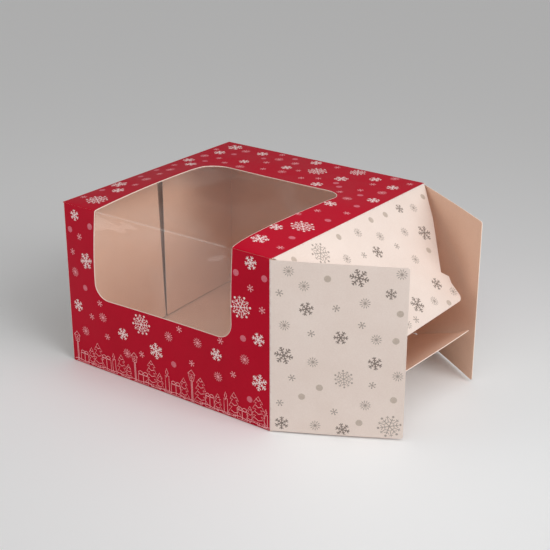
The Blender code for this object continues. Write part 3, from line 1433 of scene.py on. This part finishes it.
@dataclass(frozen=True)
class Crystal:
    """One kind of snow crystal, drawn as one arm that is spun round its middle.

    Lengths are shares of the crystal's radius. A station is a place along the arm and the
    arm's half width there. A branch is the number of the station that it starts at, its length
    and its sweep in degrees. A dot is its x, y and radius. Without a hub the arms don't meet.
    """

    arms: int
    stations: tuple[tuple[float, float], ...]
    branches: tuple[tuple[int, float, float], ...] = ()
    dots: tuple[tuple[float, float, float], ...] = ()
    hub: bool = True
    between: "Crystal | None" = None
    tip_share: float = 0.92

    def build(self, name: str) -> bpy.types.Object:
        """Draws the crystal flat, one unit in radius, with the arms that stand between.

        Args:
            name: the pattern's name.

        Returns:
            The pattern.
        """
        obj = start_point(name)
        self.draw_arm()
        for x, y, radius in self.dots:
            bpy.ops.mesh.primitive_circle_add(
                vertices=8, radius=radius, fill_type="NGON", location=(x, y, 0)
            )
        bpy.ops.mesh.select_all(action="SELECT")
        bpy.ops.mesh.spin(
            steps=self.arms - 1, dupli=True, angle=2 * math.pi * (self.arms - 1) / self.arms,
            center=(0, 0, 0), axis=(0, 0, 1),
        )
        weld(1e-4)
        bpy.ops.mesh.normals_make_consistent(inside=False)
        bpy.ops.mesh.quads_convert_to_tris(ngon_method="BEAUTY")
        close_edit()
        if not self.between:
            return obj
        other = self.between.build("arms_between")
        other.rotation_euler.z = math.pi / self.arms
        return joined(name, [obj, other])

    def draw_arm(self) -> None:
        """Draws one arm with its branches as one closed outline and fills it."""
        reach = {index: (length, sweep) for index, length, sweep in self.branches}
        side = []
        for index, (r, w) in enumerate(self.stations):
            side.append((r, w))
            if index in reach:
                length, sweep = reach[index]
                angle = math.radians(sweep)
                x, y = r + length * math.cos(angle), w + length * math.sin(angle)
                across = (self.stations[index + 1][0] - r) * self.tip_share
                side += [(x, y), (x + across, y)]
        points = [(x, -y) for x, y in side] + side[::-1]
        start = (0, 0) if self.hub else points[-1]
        fill_outline([start, *points[: None if self.hub else -1], start], reach=1e-6)


CRYSTALS = {
    Kind.FERN: Crystal(
        6,
        ((0.11, 0.0635), (0.3, 0.056), (0.41, 0.056), (0.54, 0.056), (0.67, 0.056),
         (0.82, 0.056), (0.93, 0.056), (1.0, 0.05)),
        ((1, 0.15, 58), (3, 0.3, 56), (5, 0.13, 52)),
    ),
    Kind.STAR: Crystal(
        6,
        ((0.13, 0.075), (0.36, 0.07), (0.5, 0.07), (0.66, 0.07), (0.82, 0.07), (1.0, 0.06)),
        ((1, 0.18, 58), (3, 0.26, 54)),
    ),
    Kind.ROSETTE: Crystal(
        12,
        ((0.2, 0.0535), (0.28, 0.034), (0.6, 0.034), (0.66, 0.085), (0.78, 0.095),
         (0.84, 0.04), (1.0, 0.034)),
    ),
    Kind.SPARK: Crystal(6, ((0.16, 0.092), (0.55, 0.1), (0.9, 0.19), (1.0, 0.13))),
    Kind.DISC: Crystal(12, ((0.6, 0.16), (0.98, 0.235), (1.0, 0.16))),
    Kind.LACE: Crystal(
        6,
        ((0.06, 0.035), (0.3, 0.03), (0.37, 0.03), (0.52, 0.03), (0.59, 0.03), (0.74, 0.03)),
        ((1, 0.13, 58), (3, 0.24, 58)),
        ((0.9, 0.0, 0.105),),
        between=Crystal(
            6,
            ((0.34, 0.028), (0.76, 0.028), (0.82, 0.028), (0.93, 0.028)),
            ((1, 0.12, 60),),
            hub=False,
        ),
    ),
}


def ring(x: float, y: float, wide: float, high: float, sides: int = 8) -> Line:
    """A closed oval line."""
    angles = [2 * math.pi * i / sides for i in range(sides + 1)]
    return [(x + wide * math.cos(a), y + high * math.sin(a)) for a in angles]


def fir(height: float, tiers: int = 3) -> list[Line]:
    """A fir tree in outline, with a garland on each tier.

    Args:
        height: the tree's height.
        tiers: how many tiers of branches it has.

    Returns:
        Its lines, standing on Y 0.
    """
    foot, tip = 0.1 * height, height
    side = []
    for tier in range(tiers):
        low = foot + (tip - foot) * (tiers - 1 - tier) / tiers
        wide = 0.13 * height + 0.17 * height * (tier + 1) / tiers
        side.append((wide, low))
        if tier < tiers - 1:
            side.append((wide * 0.42, low))
    crown = [(0, tip), *side]
    outline = crown + [(-x, y) for x, y in reversed(crown)]
    garlands = [
        [(-wide * 0.5, low + 0.14 * height), (0, low + 0.07 * height),
         (wide * 0.5, low + 0.12 * height)]
        for wide, low in side[::2]
    ]
    trunk = [(-0.04 * height, foot), (-0.04 * height, 0), (0.04 * height, 0),
             (0.04 * height, foot)]
    return [outline, trunk, *garlands]


def gift(width: float, height: float) -> list[Line]:
    """A wrapped gift box with a ribbon and a bow."""
    half = width / 2
    box = [(-half, 0), (half, 0), (half, height), (-half, height), (-half, 0)]
    ribbon = [(0, 0), (0, height)]
    loops = [ring(s * 0.24 * width, height + 0.16 * width, 0.22 * width, 0.15 * width)
             for s in (-1, 1)]
    return [box, ribbon, *loops]


def lantern(height: float) -> list[Line]:
    """A street lantern on its post, with a snow cap."""
    low, high, wide = 0.66 * height, 0.86 * height, 0.11 * height
    post = [[(s * 0.02 * height, 0), (s * 0.02 * height, low)] for s in (-1, 1)]
    glass = [(-wide * 0.6, low), (wide * 0.6, low), (wide, high), (-wide, high),
             (-wide * 0.6, low)]
    cap = [(-wide * 1.2, high), (0, height), (wide * 1.2, high)]
    flame = ring(0, (low + high) / 2, 0.03 * height, 0.06 * height, 6)
    foot = [(-wide * 0.7, 0), (wide * 0.7, 0)]
    return [*post, glass, cap, flame, foot]


def candle(height: float) -> list[Line]:
    """A burning candle on a saucer, with wax that has run down."""
    wide = 0.09 * height
    stick = [(-wide, 0.06 * height), (-wide, 0.7 * height), (-wide * 0.4, 0.62 * height),
             (0, 0.7 * height), (wide, 0.7 * height), (wide, 0.06 * height)]
    saucer = [(-wide * 2.2, 0.09 * height), (-wide * 1.6, 0), (wide * 1.6, 0),
              (wide * 2.2, 0.09 * height), (-wide * 2.2, 0.09 * height)]
    flame = [(0, 0.7 * height), (-wide * 0.7, 0.82 * height), (0, height),
             (wide * 0.7, 0.82 * height), (0, 0.7 * height)]
    return [stick, saucer, flame]


def drift(low: float, high: float, height: float, pitch: float = 3) -> list[Line]:
    """A line of snow drifts along the foot of the panel, in two waves that beat."""
    count = round((high - low) / pitch)
    return [[
        (low + (high - low) * i / count,
         height * (0.55 + 0.45 * math.sin(i * 0.83) * math.cos(i * 0.31)))
        for i in range(count + 1)
    ]]


FRIEZE = (
    (-104, lantern, (25,)), (-96, gift, (8, 7.5)), (-87, fir, (15,)), (-78.5, fir, (21,)),
    (-69, gift, (9, 10)), (-60, candle, (17,)), (-51, fir, (18,)), (-43, fir, (12,)),
    (-35, lantern, (24,)), (-26, gift, (10, 7)), (-16, fir, (22, 4)), (-7, fir, (14,)),
    (1.5, candle, (20,)), (11, gift, (9, 8.5)), (20, fir, (17,)), (29, lantern, (26,)),
    (38.5, fir, (22, 4)), (48, gift, (8, 9)), (56.5, fir, (14,)), (65, candle, (18,)),
    (74, fir, (20,)), (82, gift, (9, 7)), (90, fir, (13,)), (98.5, fir, (23, 4)),
    (106, candle, (15,)),
)


@dataclass
class Print:
    """What is printed on one leaf: snow crystals, and on some leaves a frieze.

    The frieze's foot, the height of its drifts and the crystals' marks are in mm.
    """

    leaf: Leaf
    name: str
    inks: dict[Kind, bpy.types.Material]
    marks: list[tuple[Kind, Mark]]
    limits: tuple[float, float, float, float]
    seed: int
    line_ink: bpy.types.Material | None = None
    ink: float = 0.08 * MM
    line_width: float = 0.52 * MM
    motif_scale: float = 1.15
    frieze_foot: float = 1.6
    drift_height: float = 2.4

    def snow(self, patterns: dict[Kind, bpy.types.Object]) -> bpy.types.Object:
        """Copies the crystals to their places and lays them on the leaf.

        Args:
            patterns: the flat pattern of each kind.

        Returns:
            The snow.
        """
        draw = random.Random(self.seed)
        copies = []
        for kind, (x, y, width) in self.marks:
            turn = Matrix.Rotation(draw.uniform(0, math.pi / 3), 4, "Z")
            place = Matrix.Translation((x * MM, y * MM, 0)) @ turn
            twin = copied(patterns[kind], place @ Matrix.Scale(width * MM / 2, 4))
            coat(twin, [self.inks[kind]])
            copies.append(twin)
        obj = joined(self.name, copies)
        low_x, high_x, low_y, high_y = self.limits
        trim(obj, 0, low_x, high_x)
        trim(obj, 1, low_y, high_y)
        self.lay(obj)
        thicken(obj, self.ink)
        return obj

    def lay(self, obj: bpy.types.Object) -> None:
        """Lays a flat print on the leaf's outer face."""
        height = self.leaf.board.thickness / 2
        moved_points(obj, lambda flat: self.leaf.placed(flat, height))

    def frieze(self) -> bpy.types.Object:
        """Draws the frieze's lines and gives them the width of a pen stroke.

        Returns:
            The frieze, on the leaf's outer face.
        """
        low, high = self.limits[0] / MM, self.limits[1] / MM
        k = self.motif_scale
        motifs = [
            (x, [[(u * k, v * k) for u, v in line] for line in motif(*sizes)])
            for x, motif, sizes in FRIEZE
        ]
        motifs.append((0, drift(low, high, self.drift_height)))
        strokes = []
        for x, lines in motifs:
            for line in lines:
                stroke = start_point("stroke")
                draw_line([((x + u) * MM, (self.frieze_foot + v) * MM) for u, v in line])
                weld(SAME_PLACE)
                close_edit()
                strokes.append(stroke)
        obj = joined("frieze", strokes)
        bpy.ops.object.convert(target="CURVE")
        curve = bpy.context.object.data
        curve.dimensions, curve.use_fill_caps = "3D", True
        curve.bevel_depth, curve.bevel_resolution = self.line_width / 2, 1
        bpy.ops.object.convert(target="MESH")
        obj = bpy.context.object
        edit(obj)
        bpy.ops.transform.resize(value=(1, 1, self.ink / self.line_width))
        close_edit()
        coat(obj, [self.line_ink])
        self.lay(obj)
        return obj

    def build(self, patterns: dict[Kind, bpy.types.Object]) -> bpy.types.Object:
        """Prints the leaf.

        Args:
            patterns: the flat pattern of each kind.

        Returns:
            The print, on the leaf's body.
        """
        obj = self.snow(patterns)
        if self.line_ink:
            obj = joined(self.name, [obj, self.frieze()])
        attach(obj, self.leaf.body)
        LOG.info("%s rides on %s", obj.name, self.leaf.body)
        return obj


USUAL = {
    Kind.FERN: 15, Kind.STAR: 11.5, Kind.ROSETTE: 9, Kind.SPARK: 6, Kind.DISC: 5.5, Kind.LACE: 18
}

FRONT_SNOW = {
    Kind.FERN: ((-84, 103), (-9, 38), (100, 41)),
    Kind.STAR: ((-97.5, 141, 10), (-99, 57), (-46, 44), (57, 54), (99.5, 79), (92, 142)),
    Kind.ROSETTE: ((-100, 88.5), (-68, 54), (-92, 34), (-43, 26), (6, 56), (37.5, 59), (58, 34),
                   (86, 58)),
    Kind.SPARK: ((-92, 123), (-102, 107), (-70, 67), (-82, 51), (-65, 36), (-26, 30), (18, 66),
                 (30, 38), (62, 68), (74, 41), (103, 105), (92, 121)),
    Kind.DISC: ((-79, 135), (-104, 127), (-87.5, 77), (10, 31), (85, 76.5), (90, 23), (78, 131),
                (105, 132)),
    Kind.LACE: ((-24, 59, 20), (83, 103, 20)),
}
TOP_SNOW = {
    Kind.FERN: ((-94, 102), (-104, -53), (83, -92)),
    Kind.STAR: ((-59, 100), (-1, 107), (71, 97), (96, 86), (101, 46), (37, 53), (-95, 79),
                (-103, 42), (-90, 29.5), (80, 11), (79, -65), (-91, -68)),
    Kind.ROSETTE: ((-77, 97), (-35.5, 95), (84, 109.5), (96, 68), (-50, 53), (-100, 62),
                   (-93, 4), (-91, -31), (82, 34), (75, -29, 6)),
    Kind.SPARK: ((-42, 109), (23, 107), (103, 104), (77, 83), (77.5, 62), (66, 46.5), (15, 60),
                 (-29, 61), (-69, 54), (-83, 63), (-105, 86), (-102, 20), (-92, -12),
                 (-88, -49), (-106, -95.5), (102, 3), (82, -11), (104.5, -94)),
    Kind.DISC: ((-24, 105), (85, 50), (57, 59), (-80, 82), (-87, 47), (-105.5, -1),
                (-103.5, -25), (-105.5, -73), (99, 23), (100, -22), (100, -72.5)),
    Kind.LACE: ((47, 105, 16), (93, -48, 21), (-90, -95.5, 20)),
}
DUST_SNOW = {
    Kind.FERN: ((68, 138), (10.5, 69)),
    Kind.STAR: ((92.5, 126, 9), (28, 110), (55, 87.5), (82, 67), (9, 9), (58, 7)),
    Kind.ROSETTE: ((14, 140.5), (26, 129), (100, 142.5), (73, 117.5), (11, 95), (82.5, 87.5),
                   (33.5, 65), (100, 57), (75.5, 30), (36, 9)),
    Kind.SPARK: ((7, 122), (51, 112), (71, 99), (32, 89.5), (17, 50), (80.5, 48), (7.5, 27),
                 (51, 22.5)),
    Kind.DISC: ((44, 136), (100, 110), (97.5, 87), (39, 43), (25, 34), (97.5, 36), (71, 14)),
    Kind.LACE: ((58, 52, 16), (95, 12.5, 20)),
}
FLAP_SNOW = {
    Kind.FERN: ((39, 68), (88, 0)),
    Kind.STAR: ((10, 59, 9), (82, 39), (34, -2.5)),
    Kind.ROSETTE: ((15, 77), (30, 45), (55, 34.5), (93, 22), (23.5, 13), (12, -9), (27, -41),
                   (95, 52)),
    Kind.SPARK: ((37.5, 24), (31, -20)),
    Kind.DISC: ((10, 99), (54, 58), (9, 37), (101, 37.5), (7.5, 16), (8, -33), (8, -95)),
    Kind.LACE: ((13, -64, 20),),
}


def sized(table: dict[Kind, tuple], drop: float = 0.0) -> list[tuple[Kind, Mark]]:
    """Fills in the usual widths of a table of crystals.

    Args:
        table: kind to spots in millimetres, each with or without a width.
        drop: how much lower the spots lie on the leaf than in the table.

    Returns:
        Each crystal's kind and its spot with a width.
    """
    return [
        (kind, (spot[0], spot[1] - drop, spot[2] if len(spot) == 3 else USUAL[kind]))
        for kind, spots in table.items()
        for spot in spots
    ]


def room_at(corners: Sequence[Spot], x: float, y: float) -> float:
    """How far inside an outline a place lies, or less than 0 outside it.

    Args:
        corners: the outline.
        x: the place's x.
        y: the place's y.

    Returns:
        The distance to the outline's nearest edge.
    """
    inside, room = False, math.inf
    for (ax, ay, _), (bx, by, _) in zip(corners, [*corners[1:], corners[0]]):
        if (ay > y) != (by > y) and x < ax + (y - ay) * (bx - ax) / (by - ay):
            inside = not inside
        edge = Vector((bx - ax, by - ay))
        share = ((x - ax) * edge.x + (y - ay) * edge.y) / edge.length_squared
        share = min(1.0, max(0.0, share))
        room = min(room, math.hypot(x - ax - share * edge.x, y - ay - share * edge.y))
    return room if inside else -room


@dataclass
class Artwork:
    """All that is printed on the board.

    Where crystals are strewn, per_square_decimetre says how many of each kind there are to a
    square decimetre, the large ones first. The spacing and the edge's room are in mm.
    """

    sleeve: Sleeve
    right: EndFlaps
    left: EndFlaps
    inset: float = 1.6 * MM
    spacing: float = 4.4
    edge_room: float = 1.5
    width_spread: tuple[float, float] = (0.85, 1.1)
    tries: int = 500
    per_square_decimetre: tuple[tuple[Kind, float], ...] = (
        (Kind.LACE, 0.9), (Kind.FERN, 1.6), (Kind.STAR, 3.4), (Kind.ROSETTE, 5.0),
        (Kind.SPARK, 6.5), (Kind.DISC, 4.5),
    )

    def scattered(self, leaf: Leaf, marks: list, area: Sequence[float], seed: int) -> list:
        """Strews crystals over the free room of a leaf, the large ones first.

        Args:
            leaf: the leaf.
            marks: the crystals that are already on it.
            area: the lowest and highest x and the lowest and highest y to fill.
            seed: the number that the draw starts from.

        Returns:
            The old crystals and the new ones.
        """
        draw = random.Random(seed)
        marks = list(marks)
        spans = []
        for axis, span in enumerate((area[:2], area[2:])):
            places = [corner[axis] / MM for corner in leaf.corners]
            spans.append((max(span[0], min(places)), min(span[1], max(places))))
        room = math.prod((high - low) / DECIMETRE for low, high in spans)
        for kind, density in self.per_square_decimetre:
            wanted = math.ceil(density * room)
            for _ in range(self.tries):
                x, y = (draw.uniform(*span) for span in spans)
                width = USUAL[kind] * draw.uniform(*self.width_spread)
                inside = room_at(leaf.corners, x * MM, y * MM) > (width / 2 + self.edge_room) * MM
                fits = inside and all(
                    math.hypot(x - u, y - v) > (width + w) / 2 + self.spacing
                    for _, (u, v, w) in marks
                )
                if wanted and fits:
                    marks.append((kind, (x, y, width)))
                    wanted -= 1
        return marks

    def sheets(self) -> list[tuple[Leaf, list, tuple | None, bool]]:
        """What goes on each leaf.

        Returns:
            Each leaf, its crystals, the area to fill with more, and whether it has the frieze.
        """
        sleeve, right, left = self.sleeve.leaves, self.right.leaves, self.left.leaves
        half_height = self.sleeve.board.height / 2 / MM
        every = (-120, 120, -120, 160)
        return [
            (sleeve["front_panel"], sized(FRONT_SNOW), None, True),
            (sleeve["top_panel"], sized(TOP_SNOW), (-64, 62, 64, 94), False),
            (sleeve["back_panel"], [], (-120, 120, 30, 160), True),
            (right["front_dust"], sized(DUST_SNOW, half_height), None, False),
            (right["back_dust"], [], every, False),
            (right["top"], sized(FLAP_SNOW), (44, 120, -120, -12), False),
            (right["bottom"], [], every, False),
            *((leaf, [], every, False) for leaf in left.values()),
        ]

    def build(self, finishes: Finishes) -> None:
        """Prints every leaf.

        Args:
            finishes: the box's finishes.
        """
        patterns = {
            kind: crystal.build(f"{kind.value}_pattern") for kind, crystal in CRYSTALS.items()
        }
        on_red = finishes.ink_set(
            finishes.snow_ink, finishes.snow_ink, finishes.pale_ink, finishes.faint_ink
        )
        on_white = finishes.ink_set(
            finishes.silver_ink, finishes.grey_ink, finishes.grey_ink, finishes.mist_ink
        )
        for seed, (leaf, marks, area, has_frieze) in enumerate(self.sheets(), 3):
            if area:
                marks = self.scattered(leaf, marks, area, seed)
            red = leaf.slot is Slot.RED
            xs, ys = ([corner[axis] for corner in leaf.corners] for axis in (0, 1))
            limits = (min(xs) + self.inset, max(xs) - self.inset,
                      min(ys) + self.inset, max(ys) - self.inset)
            Print(
                leaf, f"{leaf.node}_print", on_red if red else on_white, marks, limits, seed,
                finishes.line_ink if has_frieze else None,
            ).build(patterns)
        remove(patterns.values())


# Studio


def put_up(data: bpy.types.ID, place: Sequence[float], turn: Sequence[float]) -> bpy.types.Object:
    """Puts a lamp or a camera in its place, at its turn."""
    obj = bpy.data.objects.new(data.name, data)
    bpy.context.scene.collection.objects.link(obj)
    obj.location, obj.rotation_euler = place, turn
    return obj


def facing(away: Vector) -> Sequence[float]:
    """The turn of a lamp whose back points away from what it lights."""
    return away.to_track_quat("Z", "Y").to_euler()


@dataclass(frozen=True)
class Lamp:
    """A square softbox that faces the box."""

    name: str
    place: tuple[float, float, float]
    size: float
    watts: float
    aim: tuple[float, float, float] = (0.05, 0, 0.1)

    def build(self) -> None:
        """Hangs the lamp."""
        data = bpy.data.lights.new(self.name, "AREA")
        data.shape, data.size, data.energy = "SQUARE", self.size, self.watts
        put_up(data, self.place, facing(Vector(self.place) - Vector(self.aim)))


@dataclass
class Studio:
    """A plain pale floor, one broad light, two soft lamps and the camera."""

    camera_place: tuple[float, float, float] = (0.63186, -0.81513, 0.49398)
    camera_turn: tuple[float, float, float] = (67.7151, -0.0060, 36.4512)
    lens_mm: float = 80.86
    sensor_mm: float = 36
    floor_half: float = 6.0
    floor_colour: str = "#F6F7F8"
    key_direction: tuple[float, float, float] = (0.89, -0.06, 0.45)
    key_strength: float = 1.15
    key_spread: float = math.radians(40)
    world_strength: float = 0.3
    world_colour: str = "#FFFDFB"
    lamps: tuple[Lamp, ...] = (
        Lamp("near_softbox", (0.33, -0.12, 0.5), 0.5, 1.35),
        Lamp("low_softbox", (-0.42, -0.55, 0.22), 0.4, 0.6),
    )

    def build(self) -> None:
        """Builds the stage."""
        self.floor()
        self.key()
        for lamp in self.lamps:
            lamp.build()
        self.world()
        self.camera()

    def floor(self) -> None:
        """The floor that the box stands on."""
        start_clean()
        bpy.ops.mesh.primitive_plane_add(size=2 * self.floor_half, location=(0, 0, 0))
        obj = named("studio_floor")
        made, tree = new_tree("pale_paper_sweep")
        shader = add_node(
            tree, "ShaderNodeBsdfPrincipled",
            {"Base Color": linear(self.floor_colour), "Roughness": 0.6},
        )
        add_node(tree, "ShaderNodeOutputMaterial", {"Surface": shader.outputs[0]})
        obj.data.materials.append(made)

    def key(self) -> None:
        """The broad main light, from above on the right of the camera."""
        data = bpy.data.lights.new("main_light", "SUN")
        data.energy, data.angle = self.key_strength, self.key_spread
        put_up(data, self.key_direction, facing(Vector(self.key_direction)))

    def world(self) -> None:
        """An even fill from all round."""
        made = bpy.data.worlds.new("pale_surroundings")
        bpy.context.scene.world = made
        made.use_nodes = True
        tree = made.node_tree
        tree.nodes.clear()
        sky = add_node(
            tree, "ShaderNodeBackground",
            {"Color": linear(self.world_colour), "Strength": self.world_strength},
        )
        add_node(tree, "ShaderNodeOutputWorld", {"Surface": sky.outputs[0]})

    def camera(self) -> None:
        """The photograph's viewpoint."""
        data = bpy.data.cameras.new("photo_view")
        data.sensor_width, data.lens = self.sensor_mm, self.lens_mm
        data.dof.use_dof = False
        turn = [math.radians(a) for a in self.camera_turn]
        bpy.context.scene.camera = put_up(data, self.camera_place, turn)


# The right end's folds in degrees: front dust, back dust, top and bottom flap
OPEN_FOLDS = (28.4, 32.7, 45, 30.5)
# How much shorter than half the box's depth the dust flaps are
RIGHT_DUST_SHORT, LEFT_FRONT_SHORT, LEFT_BACK_SHORT = 9.5 * MM, 2.5 * MM, 5.5 * MM
# How much longer the left front dust flap is at its foot, its high-Y end, than at its head
LEFT_FRONT_SLANT = 5.5 * MM


def both_ends(board: Board) -> tuple[EndFlaps, EndFlaps]:
    """The half-folded right end and the closed left end.

    Args:
        board: the blank's sizes.

    Returns:
        The right end's flaps and the left end's.
    """
    right_dust, left_front, left_back = (
        board.depth / 2 - short
        for short in (RIGHT_DUST_SHORT, LEFT_FRONT_SHORT, LEFT_BACK_SHORT)
    )
    right = EndFlaps(
        board, Side.RIGHT, *(math.radians(fold) for fold in OPEN_FOLDS),
        (right_dust, right_dust), (right_dust, right_dust), bottom_lift=2.85 * MM,
    )
    left = EndFlaps(
        board, Side.LEFT, *[math.radians(90)] * 4,
        (left_front, left_front + LEFT_FRONT_SLANT), (left_back, left_back),
        curl=0, dust_lean=6 * MM,
    )
    return right, left


def main() -> None:
    """Builds the box and its studio."""
    logging.basicConfig(level=logging.INFO, format="%(message)s")
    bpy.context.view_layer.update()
    bpy.context.scene.view_settings.view_transform = "Standard"
    finishes = Finishes()
    board = Board()
    bow = Bow(board)
    sleeve, film = Sleeve(board, bow), WindowFilm(board, bow)
    right, left = both_ends(board)
    for part in (sleeve, film, right, left, Artwork(sleeve, right, left)):
        part.build(finishes)
    Studio().build()
    start_clean()


if __name__ == "__main__":
    main()
